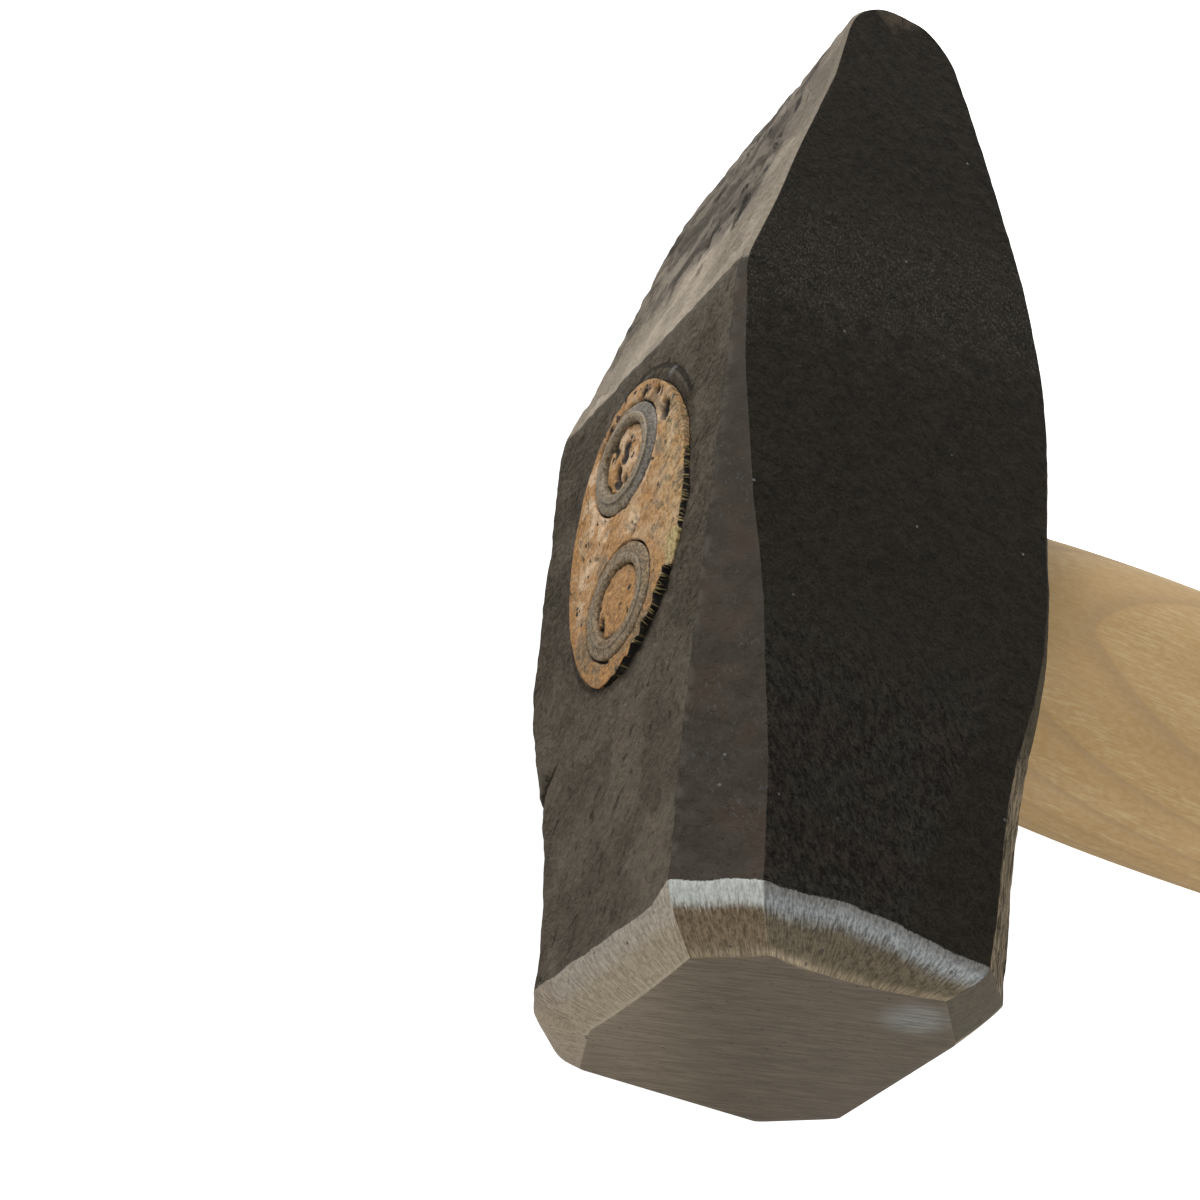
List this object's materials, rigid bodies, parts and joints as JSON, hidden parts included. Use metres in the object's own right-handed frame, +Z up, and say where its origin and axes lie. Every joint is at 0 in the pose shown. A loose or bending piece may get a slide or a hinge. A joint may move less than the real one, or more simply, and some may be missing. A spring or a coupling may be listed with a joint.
{
  "type": "cross peen forging hammer",
  "caption": "Forging hammer with a black octagonal head, a ground striking face, a wedge-shaped cross peen and an oval ash handle held by steel ring wedges.",
  "frame": {"origin": "on the lower cheek that the hammer rests on, under the middle of the eye", "axes": "+X along the handle from the eye towards the grip end, +Y along the head from the striking face towards the peen, +Z up through the cheeks, away from the surface the hammer lies on"},
  "size_m": [0.401, 0.158, 0.0508],
  "materials": {
    "forged_steel": "black forge scale, with the striking face and its bevel ground bright",
    "ash_wood": "pale sanded ash, satin",
    "wedge_steel": "dull grey steel with brown rust"
  },
  "bodies": {
    "root": {"hammer_head": "forged_steel", "handle": "ash_wood", "ring_wedge_peen": "wedge_steel", "ring_wedge_face": "wedge_steel"}
  },
  "joints": []
}
